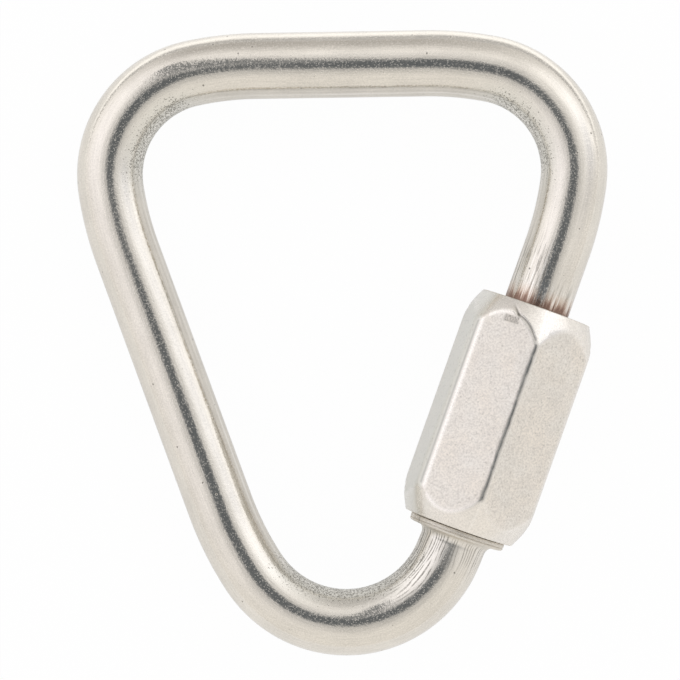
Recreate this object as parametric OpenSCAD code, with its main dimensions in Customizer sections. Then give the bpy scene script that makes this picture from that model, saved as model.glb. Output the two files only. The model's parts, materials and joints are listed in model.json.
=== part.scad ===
// Delta quick link: a round bar bent into a triangle, closed by a hexagonal sleeve nut.
// It lies on its side, on the plain arm and on one corner of the nut, with the toe towards -Y.

/* [Bar] */
// Diameter of the round bar
bar_d = 8; // [7:0.1:9]
// Straight run of the top bar between its two bends
top_straight = 20.6; // [18:0.1:26]
// Lean of each arm from the middle line, in degrees
arm_angle = 20; // [18.5:0.1:21]

/* [Bends] */
// Radius of the two top bends, at the middle of the bar
corner_r = 12.5; // [11:0.1:14]
// Radius of the toe bend, at the middle of the bar
toe_r = 13.4; // [12.5:0.1:15]
// Radius of the gentle arc that eases into each bend
ease_r = 40; // [34:1:60]
// Degrees of gentle arc on either side of a top bend
corner_ease = 11.4; // [8:0.1:13]
// Degrees of gentle arc between the plain arm and the toe
toe_ease = 13; // [8:0.1:14]
// Degrees of gentle arc between the collar and the toe
gate_ease = 3.9; // [2:0.1:6]

/* [Gate] */
// How far the threaded ends stand proud of the bar
upset = 0.6; // [0.4:0.05:0.9]
// Length of the lower threaded end, above the collar
stud_len = 4.3; // [3.5:0.1:6]
// Clear opening between the two threaded ends
gate_gap = 8.2; // [7:0.1:10]
// Bevel on the edges of the threaded ends
stud_bevel = 0.5; // [0.2:0.05:0.55]
// How far the collar stands proud of the lower threaded end
collar_lip = 1.3; // [0.9:0.1:2]
// Thickness of the collar
collar_t = 0.9; // [0.7:0.1:2]
// Rounding of the collar's lower edge
collar_round = 0.3; // [0.1:0.05:0.4]
// Fillet between the collar and the bar below it
collar_fillet = 1; // [0.6:0.1:1.4]

/* [Sleeve nut] */
// Width of the nut across its flats
nut_af = 15; // [14.5:0.1:18]
// Length of the nut
nut_len = 28; // [26:0.1:31]
// How far the six long corners are turned off
corner_trim = 0.14; // [0.05:0.01:0.3]
// Slope of the end chamfers, in degrees from the nut's axis
chamfer_angle = 23; // [18:1:35]
// Radius of the slight crown on the end chamfers
chamfer_crown = 25; // [15:1:60]
// How far the edge of an end face lies inside the flats
face_inset = 0.75; // [0.5:0.05:1.2]
// Depth of the countersink at each mouth of the bore
countersink = 0.6; // [0.3:0.05:0.8]
// Turn of the nut about its axis, in degrees
nut_turn = 17.6; // [8:0.1:20]
// Depth of the upper threaded end below the top of the nut
stud_recess = 1.2; // [0.8:0.1:2]

/* [Fits] */
// Radial running clearance between thread and nut
thread_gap = 0.05; // [0.02:0.01:0.1]
// Space between the collar and the closed nut
seat_gap = 0.1; // [0.05:0.01:0.2]

/* [Hidden] */
$fn = 96;
// The gentle arcs are this much slimmer, and their neighbours lap over them, so that the bar is one solid
ease_slim = 0.005;
lap = 0.2;
bar_r = bar_d / 2;
stud_r = bar_r + upset;
collar_r = stud_r + collar_lip;
bore_r = stud_r + thread_gap;

// A pose on the route is [x, y, heading]. A straight is [length, 0] and a bend is [degrees, radius].
function is_bend(leg) = leg[1] > 0;
function along(pose, length) =
    [pose.x + length * cos(pose.z), pose.y + length * sin(pose.z), pose.z];
function around(pose, angle, r) = [
    pose.x + r * (sin(pose.z) - sin(pose.z - angle)),
    pose.y + r * (cos(pose.z - angle) - cos(pose.z)),
    pose.z - angle
];
function go(pose, leg, share = 1) =
    is_bend(leg) ? around(pose, leg[0] * share, leg[1]) : along(pose, leg[0] * share);
function follow(pose, legs, count) =
    count == 0 ? pose : go(follow(pose, legs, count - 1), legs[count - 1]);

// Top right corner, walked from the middle of the top bar, and the point where the two arms' lines cross
corner = [[corner_ease, ease_r], [90 + arm_angle - 2 * corner_ease, corner_r], [corner_ease, ease_r]];
corner_end = follow([top_straight / 2, 0, 0], corner, len(corner));
arm_reach = corner_end.x / sin(arm_angle);
apex = [0, corner_end.y - arm_reach * cos(arm_angle)];

// The toe's centre lies at these distances from the lines of the plain arm and of the gate arm
function eased(angle) = ease_r - (ease_r - toe_r) * cos(angle);
toe_x = (eased(toe_ease) - eased(gate_ease)) / (2 * cos(arm_angle));
toe_y = (eased(toe_ease) + eased(gate_ease)) / (2 * sin(arm_angle));

// Distances from the crossing point, along an arm, at which its straight begins
plain_start = toe_y * cos(arm_angle) - toe_x * sin(arm_angle) + (ease_r - toe_r) * sin(toe_ease);
gate_start = toe_y * cos(arm_angle) + toe_x * sin(arm_angle) + (ease_r - toe_r) * sin(gate_ease);

// Heights along the gate, measured from the underside of the collar
nut_base = collar_t + seat_gap;
upper_end = collar_t + stud_len + gate_gap;
upper_len = nut_base + nut_len - stud_recess - upper_end;
gate_bar_end = upper_end + upper_len;

// The bar's route, from the top of the collar round the loop to the upper threaded end
route = concat(
    [[collar_t, 0]],
    [[gate_ease, ease_r], [180 - 2 * arm_angle - gate_ease - toe_ease, toe_r], [toe_ease, ease_r]],
    [[arm_reach - plain_start, 0]],
    corner,
    [[top_straight, 0]],
    corner,
    [[arm_reach - gate_start - gate_bar_end, 0]]
);
gate_up = [sin(arm_angle), cos(arm_angle)];
collar_spot = apex + gate_start * gate_up;
route_start = [each collar_spot + collar_t * gate_up, 270 - arm_angle];

// The nut's turned corners: their radius, half the angle each takes up, and where its end chamfers begin
sharp_r = nut_af / 2 / cos(30);
land_r = sharp_r - corner_trim;
land_half = 30 - acos(nut_af / 2 / land_r);
face_r = nut_af / 2 - face_inset;
chamfer_len = (land_r - face_r) / tan(chamfer_angle);

// Lowest edge of those corners, seen along the nut
low_in = land_r * sin(30 - nut_turn - land_half);
low_drop = land_r * cos(30 - nut_turn - land_half);

// The loop's far upper bend, measured from the line of the gate
bend_start = go([top_straight / 2, 0, 0], corner[0]);
bend_centre = [bend_start.x + corner_r * sin(bend_start.z), bend_start.y - corner_r * cos(bend_start.z)];
gate_side = [-cos(arm_angle), sin(arm_angle)];
far_reach = ([-bend_centre.x, bend_centre.y] - apex) * gate_side + corner_r;

// The link lies on that bend and on the nut's lowest edge, which lifts the gate off the ground
foot = [far_reach - low_in, low_drop];
tilt = atan2(foot.y, foot.x) - asin(bar_r / norm(foot));
gate_height = low_drop * cos(tilt) + low_in * sin(tilt);
function tipped(p) = (p * gate_up) * gate_up + (p * gate_side) * cos(tilt) * gate_side;

// Middle of the tipped loop, seen from above
samples = 24;
spots = [
    for (i = [0 : len(route) - 1], k = [0 : samples])
        let (spot = go(follow(route_start, route, i), route[i], k / samples))
        tipped([spot.x, spot.y] - apex)
];
xs = [for (spot = spots) spot.x];
ys = [for (spot = spots) spot.y];
middle = [min(xs) + max(xs), min(ys) + max(ys)] / 2;

// Takes what is drawn in the flat plane of the loop to where the link lies
module laid() {
    translate([-middle.x, -middle.y, gate_height])
        rotate(a = -tilt, v = [gate_up.x, gate_up.y, 0])
            translate([-apex.x, -apex.y, 0])
                children();
}

// Stands what is drawn along Z on the gate, at a height above the underside of the collar
module on_gate(height) {
    translate([each collar_spot + height * gate_up, 0])
        rotate([90, 0, 180 - arm_angle])
            children();
}

// A straight piece of bar from the origin along X, lapping over its neighbours
module bar_straight(length) {
    translate([-lap, 0, 0])
        rotate([0, 90, 0])
            cylinder(h = length + 2 * lap, r = bar_r);
}

// A piece of bar bent to the right from the origin
module bar_bend(angle, bend_r) {
    easing = bend_r == ease_r;
    extra = easing ? 0 : lap / bend_r * 180 / PI;
    translate([0, -bend_r, 0])
        rotate_extrude(angle = angle + 2 * extra, start = 90 - angle - extra)
            translate([bend_r, 0])
                circle(r = easing ? bar_r - ease_slim : bar_r);
}

module bent_bar() {
    for (i = [0 : len(route) - 1]) {
        pose = follow(route_start, route, i);
        translate([pose.x, pose.y, 0])
            rotate([0, 0, pose.z])
                if (is_bend(route[i]))
                    bar_bend(route[i][0], route[i][1]);
                else
                    bar_straight(route[i][0]);
    }
}

// Threaded end as a plain cylinder at the thread's mean diameter, standing on Z
module stud(length) {
    rotate_extrude()
        polygon([
            [0, 0],
            [stud_r - stud_bevel, 0],
            [stud_r, stud_bevel],
            [stud_r, length - stud_bevel],
            [stud_r - stud_bevel, length],
            [0, length]
        ]);
}

// Collar with its rounded lower edge, and the fillet that runs out on the bar below it
module collar() {
    bite = collar_fillet / 20;
    rotate_extrude() {
        square([collar_r - collar_round, collar_t]);
        translate([0, collar_round])
            square([collar_r, collar_t - collar_round]);
        translate([collar_r - collar_round, collar_round])
            circle(r = collar_round);
    }
    rotate_extrude()
        difference() {
            translate([bar_r / 2, -collar_fillet])
                square([bar_r / 2 + collar_fillet - bite, collar_fillet + collar_t / 2]);
            translate([bar_r + collar_fillet - bite, -collar_fillet])
                circle(r = collar_fillet);
        }
}

module link_body() {
    color("silver")
        laid()
            union() {
                bent_bar();
                on_gate(0)
                    collar();
                on_gate(collar_t)
                    stud(stud_len);
                on_gate(upper_end)
                    stud(upper_len);
            }
}

// Half profile that the chamfer takes off an end of the nut: all that lies outside a large circle
module chamfer_cut() {
    chord = [land_r - face_r, chamfer_len];
    sink = sqrt(pow(chamfer_crown, 2) - pow(norm(chord) / 2, 2));
    difference() {
        square([land_r + lap, nut_len / 2]);
        translate([face_r + chord.x / 2 - sink * cos(chamfer_angle), chord.y / 2 + sink * sin(chamfer_angle)])
            circle(r = chamfer_crown);
    }
}

// Turned envelope of the nut, which trims its corners and chamfers its ends
module nut_envelope() {
    rotate_extrude()
        difference() {
            square([land_r, nut_len]);
            chamfer_cut();
            translate([0, nut_len])
                mirror([0, 1])
                    chamfer_cut();
        }
}

// Tapped bore with a countersink at each mouth
module nut_bore() {
    rotate_extrude()
        polygon([
            [0, -countersink],
            [bore_r + 2 * countersink, -countersink],
            [bore_r, countersink],
            [bore_r, nut_len - countersink],
            [bore_r + 2 * countersink, nut_len + countersink],
            [0, nut_len + countersink]
        ]);
}

module sleeve_nut() {
    color("gainsboro")
        laid()
            on_gate(nut_base)
                rotate(-nut_turn)
                    difference() {
                        intersection() {
                            cylinder(h = nut_len, r = sharp_r, $fn = 6);
                            nut_envelope();
                        }
                        nut_bore();
                    }
}

link_body();
sleeve_nut();
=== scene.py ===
import json

import bpy
import numpy as np
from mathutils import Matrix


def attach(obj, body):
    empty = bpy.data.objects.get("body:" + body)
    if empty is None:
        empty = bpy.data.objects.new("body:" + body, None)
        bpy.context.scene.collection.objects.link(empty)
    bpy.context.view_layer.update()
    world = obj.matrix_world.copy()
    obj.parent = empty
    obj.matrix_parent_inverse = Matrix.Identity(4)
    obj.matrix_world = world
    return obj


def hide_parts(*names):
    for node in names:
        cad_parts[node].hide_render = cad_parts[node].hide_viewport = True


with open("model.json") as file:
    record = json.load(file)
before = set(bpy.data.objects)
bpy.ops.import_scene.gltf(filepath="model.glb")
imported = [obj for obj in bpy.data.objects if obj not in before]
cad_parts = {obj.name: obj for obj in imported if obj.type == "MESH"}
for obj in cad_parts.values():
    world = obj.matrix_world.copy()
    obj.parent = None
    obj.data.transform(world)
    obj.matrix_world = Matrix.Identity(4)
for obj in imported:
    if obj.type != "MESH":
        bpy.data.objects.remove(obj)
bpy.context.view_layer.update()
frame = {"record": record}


# Link bar: one round stainless bar, cold bent three times into a triangle. Both ends are upset and rolled
# with a thread, a collar is pressed up below the lower one, and the finished link is tumbled to a satin.

MM = 0.001
record = frame["record"]
mounts = {mount["name"]: mount for mount in record["mounts"]}
bar_r = mounts["top_bar"]["dims"]["r_mm"]
top_straight = mounts["top_bar"]["dims"]["length_mm"]
plain_arm = 32.698
bare_arm = 8.847
ease_r = 40.0
corner_bends = [(ease_r, 11.4), (12.5, 87.2), (ease_r, 11.4)]
toe_bends = [(ease_r, 13.0), (13.4, 123.1), (ease_r, 3.9)]
upper_thread = 14.4
lower_thread = 4.3
gate_gap = 8.2
collar_t = 0.9
collar_r = 5.9
collar_round = 0.3
collar_fillet = 1.0
pitch = 1.25
stud_root, stud_crest = 4.23, 5.0
stud_tip = 4.1
undercut = 0.8
stud_root_share, flank_share = 0.2, 0.67
nut_overhang = 1.2

# The loop's own axes: along the top bar, up the flat plane of the loop, and out of that plane
gate_axis = np.array(record["behaviour"]["joints"][0]["axis"])
across = np.array(mounts["top_bar"]["axis"])
plane_up = np.cross(across, gate_axis)
plane_up /= np.linalg.norm(plane_up)
loop_axes = np.stack([across, np.cross(plane_up, across), plane_up])
top_middle = np.array(mounts["top_bar"]["pos_m"])


def arcs(bends):
    """Length and turn of each bend, from its radius and its angle in degrees."""
    return [(radius * np.radians(angle), np.radians(angle)) for radius, angle in bends]


# Legs of the bar from the upper threaded end to the lower one, each with its length and its turn to the left
leg_length, leg_turn = np.array([
    (upper_thread + bare_arm, 0.0),
    *arcs(corner_bends),
    (top_straight, 0.0),
    *arcs(corner_bends),
    (plain_arm, 0.0),
    *arcs(toe_bends),
    (collar_t + lower_thread, 0.0),
]).T
leg_bend = leg_turn / leg_length
leg_start = np.cumsum(leg_length) - leg_length
gate_heading = np.arctan2(gate_axis @ loop_axes[1], gate_axis @ across)
leg_heading = gate_heading + np.cumsum(leg_turn) - leg_turn


def chord(length, heading, bend):
    """Step from the start of an arc to a point on it: the arc's length times the sine of half its turn over
    half its turn, in the heading that the arc has half way."""
    half = bend * length / 2
    reach = length * np.sinc(half / np.pi)
    return np.stack([reach * np.cos(heading + half), reach * np.sin(heading + half)], axis=-1)


leg_chord = chord(leg_length, leg_heading, leg_bend)
leg_point = np.cumsum(leg_chord, axis=0) - leg_chord
top_leg = 1 + len(corner_bends)
leg_point -= leg_point[top_leg] + leg_chord[top_leg] / 2


def walk(distance):
    """Point in the loop's plane, heading and bend at each distance along the bar."""
    leg = np.clip(np.searchsorted(leg_start, distance, side="right") - 1, 0, len(leg_start) - 1)
    run = distance - leg_start[leg]
    heading = leg_heading[leg] + leg_bend[leg] * run
    return leg_point[leg] + chord(run, leg_heading[leg], leg_bend[leg]), heading, leg_bend[leg]


def stretch(start, stop, step):
    """Evenly spaced stations from start to stop, about a step apart."""
    return np.linspace(start, stop, int(np.ceil((stop - start) / step)) + 1)


def thread(height, turn, root, crest, root_share, flank_share):
    """Radius of a right-hand thread: a triangular wave of the height less the turn's share of the pitch,
    raised from root to crest and cut off flat at both."""
    wave = np.abs(2 * ((height / pitch - turn / (2 * np.pi)) % 1) - 1)
    return root + (crest - root) * np.clip((wave - root_share) / flank_share, 0, 1)


def skin(name, grid, along, around, poles=None):
    """Mesh over a grid of points whose columns run round and close. Quads join neighbouring rows, and a fan
    of triangles joins each end row to its pole; with no poles, the last row joins the first. Its map holds
    the distance along and the distance round, in millimetres."""
    rows, columns = grid.shape[:2]
    row, column = np.mgrid[0:rows - (poles is not None), 0:columns]
    row, column = row.ravel(), column.ravel()
    ring_row = np.stack([row, row, row + 1, row + 1], axis=1)
    ring_column = np.stack([column, column + 1, column + 1, column], axis=1)
    quads = (ring_row % rows) * columns + ring_column % columns
    faces, points = quads.tolist(), grid.reshape(-1, 3)
    spots = np.stack([along[ring_row], around[ring_column]], axis=-1).reshape(-1, 2)
    if poles is not None:
        step = np.arange(columns)
        first = np.stack([0 * step + rows * columns, (step + 1) % columns, step], axis=1)
        last = np.stack([0 * step + rows * columns + 1, step, (step + 1) % columns], axis=1)
        last[:, 1:] += (rows - 1) * columns
        faces += first.tolist() + last.tolist()
        points = np.vstack([points, poles])
        fan = np.stack([around[:-1], around[1:], around[:-1]], axis=1)
        ends = [np.stack([0 * fan + along[end], fan], axis=-1).reshape(-1, 2) for end in (0, -1)]
        spots = np.vstack([spots, *ends])
    mesh = bpy.data.meshes.new(name)
    mesh.from_pydata(points, [], faces)
    mesh.uv_layers.new(name="along_and_round").uv.foreach_set("vector", spots.astype(np.float32).ravel())
    mesh.shade_smooth()
    piece = bpy.data.objects.new(name, mesh)
    bpy.context.collection.objects.link(piece)
    return piece


def paint(piece, name, values):
    """Stores one number for each vertex, for the finish to read."""
    layer = piece.data.attributes.new(name, "FLOAT", "POINT")
    padded = np.zeros(len(piece.data.vertices), np.float32)
    padded[:values.size] = values.ravel()
    layer.data.foreach_set("value", padded)


def ease(low, high, value):
    """Smooth step from 0 at low to 1 at high."""
    share = np.clip((value - low) / (high - low), 0, 1)
    return share * share * (3 - 2 * share)


# Stations along the bar, and the radius at each: the threads' own radius is worked out below
bar_sides = 112
thread_step, bar_step = 0.07, 0.36
sharp_angle = np.radians(40)
collar_s = leg_start[-1]
lower_s = collar_s + collar_t
end_s = lower_s + lower_thread
quarter = np.linspace(0, np.pi / 2, 9)
upper_rows = stretch(0, upper_thread, thread_step)
bare_rows = stretch(upper_thread, collar_s - collar_fillet, bar_step)
fillet_rows = collar_s - collar_fillet + collar_fillet * np.sin(quarter)
fillet_r = bar_r + collar_fillet * (1 - np.cos(quarter))
rim_rows = collar_s + collar_round * (1 - np.cos(quarter))
rim_r = collar_r - collar_round * (1 - np.sin(quarter))
groove_rows = collar_s + collar_round + np.array([0.03, 0.08, 0.14])
groove_r = collar_r - np.array([0.08, 0.08, 0.0])
shoulder_rows = lower_s - np.array([0.12, 0.05, 0.0, 0.0])
shoulder_r = collar_r - np.array([0.0, 0.03, 0.12, 1.4])
lower_rows = stretch(lower_s, end_s, thread_step)
station = np.concatenate([upper_rows, bare_rows, fillet_rows, rim_rows, groove_rows, shoulder_rows,
                          lower_rows])
plain_r = np.concatenate([0 * upper_rows + stud_crest, 0 * bare_rows + bar_r, fillet_r, rim_r, groove_r,
                          shoulder_r, 0 * lower_rows + stud_crest])
round_angle = np.linspace(0, 2 * np.pi, bar_sides + 1)
turn = round_angle[:-1]

# The two threads lie on one helix, so that the nut can run from one to the other
upper_height = collar_t + lower_thread + gate_gap
threads = [
    (slice(0, len(upper_rows)), upper_rows + upper_height, np.minimum(upper_rows, upper_thread - upper_rows)),
    (slice(-len(lower_rows), None), lower_rows - collar_s, end_s - lower_rows),
]
radius = np.repeat(plain_r[:, None], bar_sides, axis=1)
for rows, height, from_end in threads:
    cut = thread(height[:, None], turn, stud_root, stud_crest, stud_root_share, flank_share)
    radius[rows] = np.minimum(cut, (stud_tip + from_end)[:, None])
relief = stud_root + np.maximum(0, lower_rows - lower_s - undercut)
radius[-len(lower_rows):] = np.minimum(radius[-len(lower_rows):], relief[:, None])

# The surface: from the middle of the bar, its radius towards the inside of the loop and out of the plane
middle, heading, bend = walk(station)
inside = np.stack([-np.sin(heading), np.cos(heading)], axis=1)
flat = middle[:, None] + (radius * np.cos(turn))[..., None] * inside[:, None]
rise = radius * np.sin(turn)
ends = np.column_stack([middle[[0, -1]], [0.0, 0.0]])
bar_grid = top_middle + MM * np.concatenate([flat, rise[..., None]], axis=-1) @ loop_axes
link_bar = skin("link_bar", bar_grid, station, bar_r * round_angle, top_middle + MM * ends @ loop_axes)
link_bar.data.set_sharp_from_angle(angle=sharp_angle)

# Where the finish changes: rough skin inside the bends, drawing lines above the nut and creases below the
# collar, both longest on the inner half, rust where the nut sits, and a dull skin on the forged collar that
# fades out down the bar
tight_bend = 0.2
blur_rows = 17
inner = ease(0.2, 1.0, np.cos(turn))
bent = np.convolve(bend * bar_r > tight_bend, np.ones(blur_rows) / blur_rows, mode="same")
paint(link_bar, "bend_inside", bent[:, None] * inner)
inner_half = ease(-0.3, 0.3, np.cos(turn))
outer_half = 1 - inner_half
above_nut = (station - upper_thread - nut_overhang)[:, None]
below_collar = (collar_s - collar_fillet - station)[:, None]
inner_lines = 0.8 - 0.8 * ease(3, 11, above_nut)
outer_lines = 1 - ease(0.5, 4.5, above_nut)
paint(link_bar, "drawn_lines", inner_half * inner_lines + outer_half * outer_lines)
inner_creases = 1 - ease(5, 14, below_collar)
outer_creases = 0.7 - 0.7 * ease(1.0, 4.0, below_collar)
creases = inner_half * inner_creases + outer_half * outer_creases
paint(link_bar, "creases", creases * ease(-0.85, -0.4, below_collar))
paint(link_bar, "rust", (1 - ease(-0.6, 3.0, above_nut)) * ease(-3, -1, above_nut) + 0 * turn)
dulled = np.maximum(1 - ease(-0.95, 0.3, below_collar), 0.4 - 0.4 * ease(0.5, 5.0, below_collar))
paint(link_bar, "dull", dulled + 0 * turn)


def add(tree, kind, inputs=None, **settings):
    """New shader node with its settings; an input is given a value, or a socket to link from."""
    node = tree.nodes.new("ShaderNode" + kind)
    for key, value in settings.items():
        setattr(node, key, value)
    for key, value in (inputs or {}).items():
        if isinstance(value, bpy.types.NodeSocket):
            tree.links.new(value, node.inputs[key])
        else:
            node.inputs[key].default_value = value
    return node


def scale(tree, value, low, high, to_low=0.0, to_high=1.0, **settings):
    """Value taken from one range to another, and held at its ends."""
    ranges = {"Value": value, "From Min": low, "From Max": high, "To Min": to_low, "To Max": to_high}
    return add(tree, "MapRange", ranges, **settings).outputs["Result"]


def work(tree, operation, first, second=0.0, third=0.0):
    """Result of a sum on one to three values."""
    return add(tree, "Math", {0: first, 1: second, 2: third}, operation=operation).outputs["Value"]


def tint(tree, share, under, over):
    """Mix of two colours."""
    mix = add(tree, "Mix", {"Factor": share, "A": under, "B": over}, data_type="RGBA")
    return mix.outputs["Result"]


def shade(colour, share):
    """Colour made darker or lighter by a share."""
    return (*(share * c for c in colour[:3]), 1.0)


def marks(tree, name):
    """Numbers painted on the piece under a name."""
    return add(tree, "Attribute", attribute_name=name).outputs["Fac"]


def steel(name):
    """New metal finish: its nodes, its shader, and where on the piece it is looked up."""
    material = bpy.data.materials.new(name)
    material.use_nodes = True
    tree = material.node_tree
    shader = tree.nodes["Principled BSDF"]
    shader.inputs["Metallic"].default_value = 1.0
    return material, tree, shader, add(tree, "TexCoord").outputs["Object"]


def grain(tree, place, size, detail=2.0, roughness=0.5):
    """Noise from 0 to 1 with features of about the given size in millimetres."""
    values = {"Vector": place, "Scale": 1 / (size * MM), "Detail": detail, "Roughness": roughness}
    return add(tree, "TexNoise", values).outputs["Fac"]


bar_colour = (*record["materials"][0]["base_color"], 1.0)
bare_and_highlight_colour = (0.90, 0.87, 0.82, 1.0)
pit_and_shade_colour = (0.13, 0.12, 0.10, 1.0)
rust_colour = (0.24, 0.145, 0.11, 1.0)
thin_rust_colour = (0.60, 0.45, 0.35, 1.0)
rough_colour = (0.775, 0.775, 0.72, 1.0)
peel_size, fine_size, speck_size, patch_size = 0.38, 0.2, 0.22, 5.0
pit_spacing, bare_cells = 1.5, 0.72
peel_depth = 0.03
bar_finish, tree, shader, place = steel("tumbled_bar_steel")
bend_inside = marks(tree, "bend_inside")
drawn_lines = marks(tree, "drawn_lines")
creased = marks(tree, "creases")
rust_share = marks(tree, "rust")
dull = marks(tree, "dull")

# Orange peel of the tumbled skin with its dimples, and dark specks that crowd on the inside of the bends
peel = grain(tree, place, peel_size)
fine_peel = grain(tree, place, fine_size, detail=1.0)
dimple = scale(tree, fine_peel, 0.61, 0.69)
speck_noise = grain(tree, place, speck_size, detail=1.0)
speck_level = scale(tree, bend_inside, 0, 1, 0.78, 0.5)
speck = scale(tree, work(tree, "SUBTRACT", speck_noise, speck_level), 0.0, 0.04)

# Lone pits: ragged balls round scattered points, kept in one cell of four
pits = add(tree, "TexVoronoi", {"Vector": place, "Scale": 1 / (pit_spacing * MM)})
from_pit = work(tree, "MULTIPLY_ADD", fine_peel, 0.1, pits.outputs["Distance"])
pit_core = scale(tree, from_pit, 0.1, 0.15, 1, 0)
pit_pick = add(tree, "SeparateColor", {"Color": pits.outputs["Color"]}).outputs["Red"]
pit = work(tree, "MULTIPLY", pit_core, work(tree, "GREATER_THAN", pit_pick, bare_cells))

# Drawing lines: noise stretched along the bar and looked up round it, so that it has no seam
bar_map = add(tree, "SeparateXYZ", {0: add(tree, "UVMap", uv_map="along_and_round").outputs["UV"]}).outputs
bar_angle = work(tree, "DIVIDE", bar_map["Y"], bar_r)


def streaks(lengthwise, roundwise, detail):
    """Noise along the bar, with so many features to the millimetre lengthwise and round."""
    around = {"X": work(tree, "MULTIPLY", bar_map["X"], lengthwise),
              "Y": work(tree, "MULTIPLY", work(tree, "COSINE", bar_angle), roundwise * bar_r),
              "Z": work(tree, "MULTIPLY", work(tree, "SINE", bar_angle), roundwise * bar_r)}
    spot = add(tree, "CombineXYZ", around).outputs["Vector"]
    return add(tree, "TexNoise", {"Vector": spot, "Scale": 1.0, "Detail": detail}).outputs["Fac"]


line_noise = streaks(0.2, 3.8, 2.0)
polish = streaks(0.3, 5.0, 2.0)
dotted = scale(tree, fine_peel, 0.3, 0.55, 0.5, 1.0)
groove_kept = work(tree, "MULTIPLY", drawn_lines, dotted)
groove = work(tree, "MULTIPLY", scale(tree, line_noise, 0.57, 0.61), groove_kept)
ridge = work(tree, "MULTIPLY", scale(tree, line_noise, 0.47, 0.42), drawn_lines)

# Creases: lines at even steps round the bar, which sway with one noise and break with another
crease_count = 58
sway = work(tree, "MULTIPLY", streaks(0.15, 0.8, 1.0), 2.5)
crease_turn = work(tree, "MULTIPLY_ADD", bar_angle, crease_count / (2 * np.pi), sway)
off_crease = work(tree, "ABSOLUTE", work(tree, "SUBTRACT", work(tree, "FRACT", crease_turn), 0.5))
crease_kept = work(tree, "MULTIPLY", scale(tree, streaks(0.4, 2.2, 1.0), 0.36, 0.49), dotted)
crease = work(tree, "MULTIPLY", scale(tree, off_crease, 0.1, 0.24, 1.0, 0.0), crease_kept)
crease = work(tree, "MULTIPLY", crease, creased)

# Lines along the inside: two darker lines and a paler one, at set angles round the bar and broken here and
# there
inside_share = work(tree, "MULTIPLY_ADD", streaks(0.04, 0.3, 1.0), 0.06, work(tree, "COSINE", bar_angle))
broken = scale(tree, streaks(0.1, 1.5, 2.0), 0.35, 0.6, 0.25, 1.0)


def inside_line(share, width):
    """Line along the bar where the cosine of the angle round it is near a share, fading to its sides."""
    off = work(tree, "ABSOLUTE", work(tree, "SUBTRACT", inside_share, share))
    return work(tree, "MULTIPLY", scale(tree, off, 0.2 * width, width, 1.0, 0.0), broken)


faint_line = work(tree, "MULTIPLY", inside_line(0.91, 0.02), 0.5)
dark_inside_line = work(tree, "MAXIMUM", inside_line(0.82, 0.026), faint_line)
pale_inside_line = inside_line(0.965, 0.025)

# Rust: a brown film that thins out up the bar, broken where the ridges are rubbed bare
rust_edge = work(tree, "MULTIPLY_ADD", line_noise, 1.4, -0.7)
rust_patch = work(tree, "ADD", rust_share, work(tree, "MULTIPLY", rust_edge, rust_share))
rust_film = scale(tree, rust_patch, 0.05, 0.8)
rubbed = work(tree, "MULTIPLY", ridge, scale(tree, rust_share, 0.5, 0.9, 0.7, 0.1))
rust_film = work(tree, "MULTIPLY", rust_film, work(tree, "SUBTRACT", 1.0, rubbed))

# Colour: patchy metal, paler on the rough skin, where it is rubbed bare and along the pale inside line, then
# its dirt with the dark inside lines, and its rust
tone = work(tree, "MULTIPLY_ADD", scale(tree, grain(tree, place, patch_size), 0.3, 0.7), 0.3, 0.0)
tone = work(tree, "MULTIPLY_ADD", scale(tree, polish, 0.3, 0.7), 0.3, tone)
tone = work(tree, "MULTIPLY_ADD", scale(tree, fine_peel, 0.3, 0.7), 0.4, tone)
metal = tint(tree, tone, shade(bar_colour, 0.84), shade(bar_colour, 1.12))
metal = tint(tree, work(tree, "MULTIPLY", bend_inside, 0.6), metal, rough_colour)
bright = work(tree, "MAXIMUM", work(tree, "MULTIPLY", ridge, 0.9), work(tree, "MULTIPLY", creased, 0.35))
bright = work(tree, "MAXIMUM", bright, work(tree, "MULTIPLY", pale_inside_line, 0.8))
metal = tint(tree, bright, metal, bare_and_highlight_colour)
dirt_and_lines = work(tree, "MAXIMUM", work(tree, "MULTIPLY", speck, 0.6), work(tree, "MULTIPLY", pit, 0.75))
dirt_and_lines = work(tree, "MAXIMUM", dirt_and_lines, work(tree, "MULTIPLY", work(tree, "MAXIMUM", groove, crease), 0.8))
dirt_and_lines = work(tree, "MAXIMUM", dirt_and_lines, work(tree, "MULTIPLY", dark_inside_line, 0.25))
metal = tint(tree, dirt_and_lines, metal, pit_and_shade_colour)
rust_hue = tint(tree, scale(tree, rust_film, 0.3, 1.0), thin_rust_colour, rust_colour)
metal = tint(tree, scale(tree, rust_film, 0, 0.8, 0, 0.95), metal, rust_hue)
# Darker still in a narrow band right where the bar goes into the nut
metal = tint(tree, scale(tree, rust_share, 0.84, 0.95, 0, 0.5), metal, pit_and_shade_colour)
tree.links.new(metal, shader.inputs["Base Color"])

# Sheen and relief: less gloss where the skin is rough, dirty or darkly lined, dull or rusty, and specks, pits
# and grooves sunk into the peel
sheen = scale(tree, peel, 0.3, 0.7, 0.1, 0.15)
sheen = work(tree, "MULTIPLY_ADD", bend_inside, 0.1, sheen)
sheen = work(tree, "MULTIPLY_ADD", dirt_and_lines, 0.15, sheen)
sheen = work(tree, "MULTIPLY_ADD", dull, 0.4, sheen)
sheen = work(tree, "MULTIPLY_ADD", rust_share, 0.2, sheen)
tree.links.new(sheen, shader.inputs["Roughness"])
height = work(tree, "MULTIPLY_ADD", peel, 0.38, work(tree, "MULTIPLY", fine_peel, 0.18))
height = work(tree, "MULTIPLY_ADD", dimple, -0.21, height)
height = work(tree, "MULTIPLY_ADD", polish, 0.15, height)
height = work(tree, "MULTIPLY_ADD", speck, -0.4, height)
height = work(tree, "MULTIPLY_ADD", pit, -0.8, height)
height = work(tree, "MULTIPLY_ADD", groove, -0.4, height)
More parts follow.
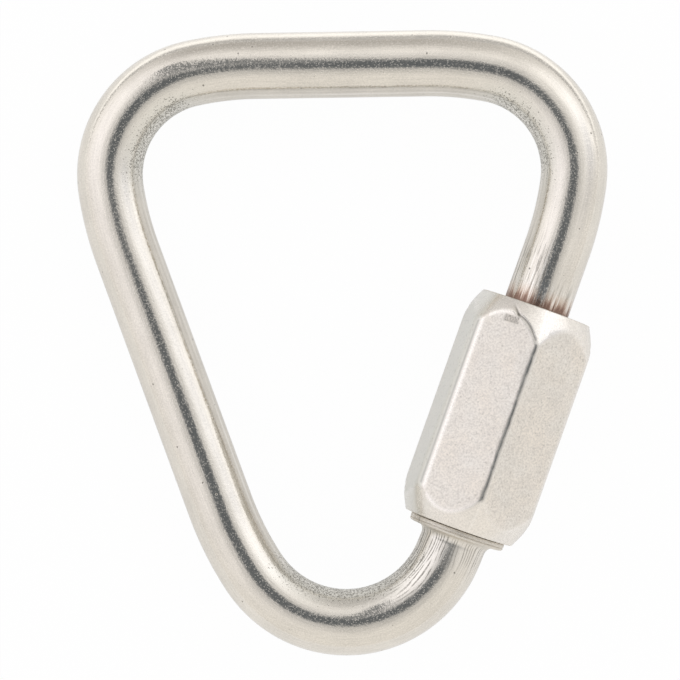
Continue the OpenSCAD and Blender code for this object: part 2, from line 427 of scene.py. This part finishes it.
relief_map = add(tree, "Bump", {"Height": height, "Strength": 1.0, "Distance": peel_depth * MM})
tree.links.new(relief_map.outputs["Normal"], shader.inputs["Normal"])
link_bar.data.materials.append(bar_finish)
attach(link_bar, "link")
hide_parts("link_body")


# Sleeve nut: a length of hexagonal stainless bar, drilled and tapped right through, its ends chamfered on a
# lathe. It screws down over the lower thread to the collar, and up over the bare bar to open the link.

nut_len = 28.0
nut_base = collar_t + 0.1
corner_round = 0.9
worn_round = 2.0
side_round = 2.0
face_r = 6.75
land_r = 8.52
chamfer_angle = np.radians(23)
chamfer_crown = 25.0
edge_soft = 0.11
rim_round = 0.15
countersink_r = 5.35
nut_crest, nut_root = 4.3, 5.05
nut_root_share = 0.12
bruise_depth, nick_depth, scuff_depth = 0.08, 0.12, 0.05
flat_above = np.array(mounts["spanner_flat_upper"]["pos_m"])
flat_below = np.array(mounts["spanner_flat_lower"]["pos_m"])
nut_middle = (flat_above + flat_below) / 2
half_flats = np.linalg.norm(flat_above - flat_below) / 2 / MM
facing = np.array(mounts["spanner_flat_upper"]["axis"])
nut_axes = np.stack([facing, np.cross(gate_axis, facing), gate_axis])

# Columns round the nut, from the upper flat: close on its corners, and on the upper flat for its marks
corner_reach = np.radians(7.2)
flat_reach = np.pi / 6 - corner_reach
flat_columns = [44, 8, 8, 8, 8, 8]
corner_columns = [26, 12, 12, 12, 12, 26]


def nut_side(side, flats, corners):
    """Angles over one flat and the corner after it, evenly spaced on each, plus a sixth of a turn for each
    side before it."""
    on_flat = np.linspace(-flat_reach, flat_reach, flats + 1)[:-1]
    on_corner = np.linspace(flat_reach, flat_reach + 2 * corner_reach, corners + 1)[:-1]
    return np.concatenate([on_flat, on_corner]) + side * np.pi / 3


nut_turn = np.concatenate([nut_side(*side) for side in zip(range(6), flat_columns, corner_columns)])
nut_round_angle = np.append(nut_turn, nut_turn[0] + 2 * np.pi)


def hexagon(angle, rounding):
    """Distance from the axis to a hexagon with rounded corners: half the width over the cosine of the angle
    from the nearest flat's normal, or the far side of the circle in the corner."""
    from_flat = np.abs((angle + np.pi / 6) % (np.pi / 3) - np.pi / 6)
    from_corner = np.pi / 6 - from_flat
    reach = (half_flats - rounding) / np.cos(np.pi / 6)
    off_middle = reach * np.sin(from_corner)
    on_flat = half_flats / np.cos(from_flat)
    in_corner = reach * np.cos(from_corner) + np.sqrt(np.maximum(0, rounding**2 - off_middle**2))
    return np.where(from_flat < np.arctan(reach / 2 / half_flats), on_flat, in_corner)


def chamfer(depth):
    """Radius left by the crowned chamfer at a depth below an end: an arc through the rim of the end face and
    through the turned corners, which leans from the axis by the chamfer's angle."""
    chord_x, chord_z = land_r - face_r, (land_r - face_r) / np.tan(chamfer_angle)
    sink = np.sqrt(chamfer_crown**2 - (chord_x**2 + chord_z**2) / 4)
    centre_r = face_r + chord_x / 2 - sink * np.cos(chamfer_angle)
    centre_z = chord_z / 2 + sink * np.sin(chamfer_angle)
    return centre_r + np.sqrt(chamfer_crown**2 - (depth - centre_z) ** 2)


# Rows of the section: up the outside, in over the top face, down the thread and out over the bottom face
end_zone = 4.8
low_rows = rim_round + stretch(0, end_zone, 0.1)
mid_rows = stretch(low_rows[-1], nut_len - low_rows[-1], 0.2)[1:-1]
out_rows = np.concatenate([low_rows, mid_rows, nut_len - low_rows[::-1]])
bore_rows = stretch(0, nut_len, 0.125)[::-1]
face_in = np.array([0.05, 0.12, 0.4, 0.8])
face_drop = np.array([0.04, 0.0, 0.0, 0.0])
depth = np.minimum(out_rows, nut_len - out_rows)[:, None]

# The corner that the upper flat shares with the inner side is worn round, and the one on its other side is
# bruised, so that its rounding wavers along the nut
high = out_rows[:, None]
signed_turn = (nut_turn + np.pi) % (2 * np.pi) - np.pi
wavers = 1.25 + 0.15 * np.sin(0.8 * high + 4.5) + 0.15 * np.sin(3.1 * high + 1) * np.sin(0.9 * high)
sways = 0.005 * np.sin(0.8 * high) + 0.006 * np.sin(3.7 * high + 1.3) * np.sin(1.1 * high + 2)
sways = sways * np.exp(-(((signed_turn - np.pi / 6) / np.radians(4)) ** 2))
by_worn = np.abs(signed_turn + np.pi / 6) < np.radians(10)
by_bruised = np.abs(signed_turn - np.pi / 6) < corner_reach
rounding = np.where(by_bruised, corner_round * wavers, np.where(by_worn, worn_round, side_round))
outline = hexagon(nut_turn + sways, rounding)
turned = chamfer(depth) + 0 * nut_turn
out_radius = (outline + turned - np.hypot(outline - turned, edge_soft)) / 2

# Marks on the upper flat: a groove bruised along its chamfer's edge, a nick at the top of it and a scuff
over_flat = half_flats * np.tan(np.clip(signed_turn, -0.6, 0.6))
from_top = nut_len - high
on_edge = np.exp(-(((outline - turned) / 0.08) ** 2)) * (from_top < 6)
bruise = on_edge * ease(0.3, 0.8, over_flat) * (1 - ease(3.6, 4.2, over_flat))
nick_way = (from_top - 1.35) - 0.9 * (over_flat - 0.5)
nick = np.exp(-((nick_way / 0.22) ** 2) - (((over_flat - 0.4) / 0.55) ** 2))
scuff_side = np.abs(over_flat - 0.2) + 0.08 * np.sin(9 * from_top)
scuff = (1 - ease(0.85, 1.0, scuff_side)) * (1 - ease(0.38, 0.46, np.abs(from_top - 2.4)))
scuff = scuff * (0.75 + 0.25 * np.sin(17 * over_flat + 2 * np.sin(11 * from_top)))
out_radius = out_radius - bruise_depth * bruise - nick_depth * nick - scuff_depth * scuff

# The surface: the section goes on over the end faces and down the bore, whose thread is in step with the
# bar's
rim_radius = out_radius[:1] - face_in[:, None]
axis_turn = np.arctan2(facing @ plane_up, facing @ np.cross(plane_up, gate_axis))
bore_height = (bore_rows + nut_base)[:, None]
bore_radius = thread(bore_height, nut_turn + axis_turn, nut_crest, nut_root, nut_root_share, flank_share)
mouth = countersink_r - np.minimum(bore_rows, nut_len - bore_rows)
bore_radius = np.maximum(bore_radius, mouth[:, None])
nut_z = np.concatenate([out_rows, nut_len - face_drop, bore_rows, face_drop[::-1]])
nut_radius = np.concatenate([out_radius, rim_radius, bore_radius, rim_radius[::-1]])
nut_points = np.stack([
    nut_radius * np.cos(nut_turn),
    nut_radius * np.sin(nut_turn),
    np.repeat(nut_z[:, None] - nut_len / 2, len(nut_turn), axis=1),
], axis=-1)
section = np.append(nut_z, nut_z[0])
nut_grid = nut_middle + MM * nut_points @ nut_axes
nut = skin("sleeve_nut_hexagon", nut_grid, section, half_flats * nut_round_angle)
nut.data.set_sharp_from_angle(angle=sharp_angle)

# Where the finish changes: bare metal on the corners and on the turned ends, and beside the worn one a narrow
# band painted paler as its highlight; grime in the marks, with painted shade in the bruised corner and along
# the worn one; and the flat on the inner side painted paler and cooler, a painted reflection of the cooler
# light it faces
corner_near = np.pi / 6 - np.abs((nut_turn + np.pi / 6) % (np.pi / 3) - np.pi / 6)
wear_and_highlight = np.maximum(np.exp(-((corner_near / np.radians(2)) ** 2)), np.exp(-(((outline - turned) / 0.15) ** 2)))
off_worn = np.degrees(signed_turn + np.pi / 6)
on_hexagon = ease(0, 0.1, turned - outline)
# Beside the worn corner only a narrow band, painted paler as the corner's highlight
wear_and_highlight = np.where(by_worn, np.exp(-(((off_worn - 6.2) / 1.5) ** 2)) * on_hexagon, wear_and_highlight)
wear_and_highlight = np.maximum(wear_and_highlight, 0.6 * ease(0, 0.2, outline - turned))
# Painted shade: the bruised corner darkened along its dark reflection, and a band beside the worn corner
# darkened
in_bruise = np.exp(-((np.degrees(signed_turn - np.pi / 6) / 1.1) ** 2)) * on_hexagon
by_edge = np.exp(-(((off_worn - 2.8) / 1.3) ** 2)) * on_hexagon
paint(nut, "worn_edge_and_highlight", wear_and_highlight)
# Grime in the nick and the bruise, with the painted shade of the bruised corner and of the band beside the
# worn one
paint(nut, "grime_and_shade", np.clip(0.8 * nick + 0.7 * bruise + 0.35 * in_bruise + 0.42 * by_edge, 0, 1))
paint(nut, "scuffed", scuff)
# The flat on the inner side: painted paler and cooler, a painted reflection of the cooler light it faces
paint(nut, "inner_side_reflection", (off_worn > -56) * (1 - ease(3.5, 5.0, off_worn)) + 0 * high)

nut_colour = (*record["materials"][1]["base_color"], 1.0)
inner_flat_reflection_colour = (0.835, 0.835, 0.79, 1.0)
cool_colour, warm_colour = (0.77, 0.738, 0.685), (0.79, 0.735, 0.66)
mottle_size, grit_size, hue_size, speckle_size, hatch_size = 2.5, 0.24, 3.5, 0.3, 0.16
grit_depth = 0.02
nut_finish, tree, shader, place = steel("machined_nut_steel")
worn_edge_and_highlight = marks(tree, "worn_edge_and_highlight")
mottle = scale(tree, grain(tree, place, mottle_size, detail=3.0), 0.3, 0.7)
grit = grain(tree, place, grit_size, detail=2.0)
tone = work(tree, "MULTIPLY_ADD", scale(tree, grit, 0.35, 0.65), 0.7, work(tree, "MULTIPLY", mottle, 0.3))
hue = scale(tree, grain(tree, place, hue_size), 0.35, 0.65)
pale = tint(tree, hue, shade(cool_colour, 1.13), shade(warm_colour, 1.13))
metal = tint(tree, tone, shade(nut_colour, 0.86), pale)
# Painted reflection: the flat on the inner side made paler and cooler
metal = tint(tree, work(tree, "MULTIPLY", marks(tree, "inner_side_reflection"), 0.8), metal, inner_flat_reflection_colour)
# Bare metal on the corners and ends, and the painted highlight beside the worn corner
metal = tint(tree, work(tree, "MULTIPLY", worn_edge_and_highlight, 0.5), metal, bare_and_highlight_colour)
speckle = scale(tree, grain(tree, place, speckle_size, detail=1.0), 0.6, 0.74)
speckle = work(tree, "MULTIPLY", speckle, scale(tree, worn_edge_and_highlight, 0, 0.6, 0.22, 0.04))
hatch = scale(tree, grain(tree, place, hatch_size), 0.4, 0.56, 0.3, 0.75)
hatched = work(tree, "MULTIPLY", marks(tree, "scuffed"), hatch)
# Specks, scuffs and grime, with the painted shade in the bruised corner and beside the worn one
grime_and_shade = work(tree, "MAXIMUM", work(tree, "MAXIMUM", speckle, hatched), marks(tree, "grime_and_shade"))
metal = tint(tree, grime_and_shade, metal, pit_and_shade_colour)
tree.links.new(metal, shader.inputs["Base Color"])
sheen = scale(tree, mottle, 0, 1, 0.38, 0.45)
sheen = work(tree, "MULTIPLY_ADD", worn_edge_and_highlight, -0.25, sheen)
tree.links.new(sheen, shader.inputs["Roughness"])
height = work(tree, "MULTIPLY", grit, scale(tree, worn_edge_and_highlight, 0, 0.6, 1.0, 0.3))
relief_map = add(tree, "Bump", {"Height": height, "Strength": 1.0, "Distance": grit_depth * MM})
tree.links.new(relief_map.outputs["Normal"], shader.inputs["Normal"])
nut.data.materials.append(nut_finish)
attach(nut, "sleeve")
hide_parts("sleeve_nut")


# Table and light: a white sheet under a white tent with two soft panels at the far side; in what the metal
# mirrors, the sheet has painted shade inside the loop and a painted strip of light behind the link. The roof
# has a dark round opening for the camera, and the dark arm of its stand.

table_half = 1.5
table_colour = (0.93, 0.93, 0.93, 1.0)
white_to_camera, white_to_metal = 0.97, 0.5
link_end, strip_near, strip_full, strip_end = 37.5, 40.0, 48.0, 70.0
near_level, strip_level, far_level = 1.2, 2.05, 0.45
loop_inside, loop_outside = 20.0, 50.0
inside_level, outside_level = 0.93, 1.09
table_mesh = bpy.data.meshes.new("table_sheet")
table_corners = table_half * np.array([(-1, -1, 0), (1, -1, 0), (1, 1, 0), (-1, 1, 0)])
table_mesh.from_pydata(table_corners, [], [(0, 1, 2, 3)])
table = bpy.data.objects.new("table_sheet", table_mesh)
bpy.context.collection.objects.link(table)
sheet = bpy.data.materials.new("white_sheet")
sheet.use_nodes = True
tree = sheet.node_tree
tree.nodes.clear()
rays = add(tree, "LightPath").outputs
mirrored = work(tree, "MAXIMUM", rays["Is Glossy Ray"], rays["Is Transmission Ray"])
seen = work(tree, "MAXIMUM", work(tree, "MULTIPLY", rays["Is Camera Ray"], white_to_camera),
            work(tree, "MULTIPLY", mirrored, white_to_metal))
matte = add(tree, "BsdfDiffuse", {"Color": table_colour}).outputs["BSDF"]

# What the metal mirrors of the sheet: painted shade, a little darker inside the loop than round it, for the
# link's own shadow, and a painted strip of light behind the link
place = add(tree, "TexCoord").outputs["Object"]
from_middle = add(tree, "VectorMath", {0: place}, operation="LENGTH").outputs["Value"]
behind = add(tree, "SeparateXYZ", {0: place}).outputs["Y"]
smooth = {"interpolation_type": "SMOOTHSTEP"}
# Painted shade: darker inside the loop, lighter round it
near = scale(tree, from_middle, loop_inside * MM, loop_outside * MM, inside_level, outside_level, **smooth)
# Painted light: a bright strip on the sheet behind the link, fading further off
strip_rise = scale(tree, behind, strip_near * MM, strip_full * MM, near_level, strip_level, **smooth)
strip_fall = scale(tree, behind, strip_full * MM, strip_end * MM, strip_level, far_level, **smooth)
strip = work(tree, "MINIMUM", strip_rise, strip_fall)
past_link = work(tree, "GREATER_THAN", behind, link_end * MM)
level = add(tree, "Mix", {"Factor": past_link, "A": near, "B": strip}).outputs["Result"]
glow = tint(tree, mirrored, (1.0, 1.0, 1.0, 1.0), level)
white = add(tree, "Emission", {"Color": glow, "Strength": 1.0}).outputs["Emission"]
blend = add(tree, "MixShader", {0: seen, 1: matte, 2: white})
add(tree, "OutputMaterial", {"Surface": blend.outputs["Shader"]})
table_mesh.materials.append(sheet)

# The tent: a plain light, and soft panels and gaps given by bearing, height in degrees, tightness and amount
tent_light = (0.893, 0.876, 0.862)
panels = [
    (26.2, 33.3, 11.1, (1.22, 1.25, 1.33)),
    (119.9, 27.4, 3.52, (0.873, 0.873, 0.873)),
    (162.0, 38.0, 6.0, (0.03, 0.03, 0.1)),
    (270.0, 20.0, 2.0, (0.07, 0.065, 0.05)),
    (20.0, 13.0, 150.0, (0.3, 0.3, 0.3)),
    (106.8, 17.4, 5.87, (-1.0, -1.0, -1.0)),
    (17.2, 34.1, 15.5, (-1.0, -1.0, -1.0)),
]
world = bpy.data.worlds.new("tent")
bpy.context.scene.world = world
world.use_nodes = True
tree = world.node_tree
direction = add(tree, "TexCoord").outputs["Generated"]
light = tent_light
for bearing, climb, tightness, amount in panels:
    bearing, climb = np.radians([bearing, climb])
    towards = (np.cos(climb) * np.cos(bearing), np.cos(climb) * np.sin(bearing), np.sin(climb))
    facing_it = add(tree, "VectorMath", {0: direction, 1: towards}, operation="DOT_PRODUCT").outputs["Value"]
    fall = work(tree, "EXPONENT", work(tree, "MULTIPLY_ADD", facing_it, tightness, -tightness))
    inputs = {0: fall, 1: amount, 2: light}
    light = add(tree, "VectorMath", inputs, operation="MULTIPLY_ADD").outputs["Vector"]
tree.links.new(light, tree.nodes["Background"].inputs["Color"])

# The roof: clear but for the opening, its soft border and the arm, and seen only in what it shades
roof_height, roof_r, roof_sides = 375.0, 420.0, 64
opening_inner, opening_outer = 78, 158
border_inner, border_outer, border_share = 55, 372, 0.42
opening_colour = (0.15, 0.164, 0.18, 1.0)
arm_start = (-73.0, 89.0)
arm_bearing = np.radians(117.7)
arm_inner, arm_outer, arm_share, arm_fade = 12, 50, 0.95, 30
roof_turn = np.linspace(0, 2 * np.pi, roof_sides + 1)[:-1]
roof_x, roof_y = roof_r * np.cos(roof_turn), roof_r * np.sin(roof_turn)
roof_points = np.stack([roof_x, roof_y, 0 * roof_turn + roof_height], axis=1)
roof_mesh = bpy.data.meshes.new("tent_roof")
roof_mesh.from_pydata(MM * roof_points, [], [tuple(range(len(roof_turn)))])
roof = bpy.data.objects.new("tent_roof", roof_mesh)
roof.visible_camera = False
bpy.context.collection.objects.link(roof)
roof_finish = bpy.data.materials.new("roof_opening")
roof_finish.use_nodes = True
tree = roof_finish.node_tree
tree.nodes.clear()
spot = add(tree, "VectorMath", {0: add(tree, "TexCoord").outputs["Object"], 1: (1 / MM, 1 / MM, 0.0)},
           operation="MULTIPLY").outputs["Vector"]
from_middle = add(tree, "VectorMath", {0: spot}, operation="LENGTH").outputs["Value"]
opening = scale(tree, from_middle, opening_inner, opening_outer, 1, 0, **smooth)
border = scale(tree, from_middle, border_inner, border_outer, border_share, 0, **smooth)
from_arm = add(tree, "VectorMath", {0: spot, 1: (*arm_start, 0.0)}, operation="SUBTRACT").outputs["Vector"]
arm_way = (np.cos(arm_bearing), np.sin(arm_bearing), 0.0)
arm_side = (-np.sin(arm_bearing), np.cos(arm_bearing), 0.0)
along_arm = add(tree, "VectorMath", {0: from_arm, 1: arm_way}, operation="DOT_PRODUCT").outputs["Value"]
off_arm = add(tree, "VectorMath", {0: from_arm, 1: arm_side}, operation="DOT_PRODUCT").outputs["Value"]
arm = scale(tree, work(tree, "ABSOLUTE", off_arm), arm_inner, arm_outer, arm_share, 0, **smooth)
arm = work(tree, "MULTIPLY", arm, scale(tree, along_arm, -arm_fade, 0))
dark_share = work(tree, "MAXIMUM", opening, work(tree, "MAXIMUM", border, arm))
clear = add(tree, "BsdfTransparent").outputs["BSDF"]
dark = add(tree, "Emission", {"Color": opening_colour, "Strength": 1.0}).outputs["Emission"]
blend = add(tree, "MixShader", {0: dark_share, 1: clear, 2: dark})
add(tree, "OutputMaterial", {"Surface": blend.outputs["Shader"]})
roof_mesh.materials.append(roof_finish)


# Camera: straight above the link, at the height and with the lens that give the photograph's frame.

view_x, view_y, view_height = -0.246, 0.325, 370.0
view_turn = np.radians(-0.458)
focal_pixels, frame_pixels = 2999.3, 680
camera_data = bpy.data.cameras.new("camera_above")
camera_data.sensor_width = 36.0
camera_data.lens = camera_data.sensor_width * focal_pixels / frame_pixels
camera_data.clip_start = 0.01
camera = bpy.data.objects.new("camera_above", camera_data)
camera.location = (view_x * MM, view_y * MM, view_height * MM)
camera.rotation_euler = (0.0, 0.0, view_turn)
bpy.context.collection.objects.link(camera)
bpy.context.scene.camera = camera
bpy.context.scene.view_settings.view_transform = "Standard"
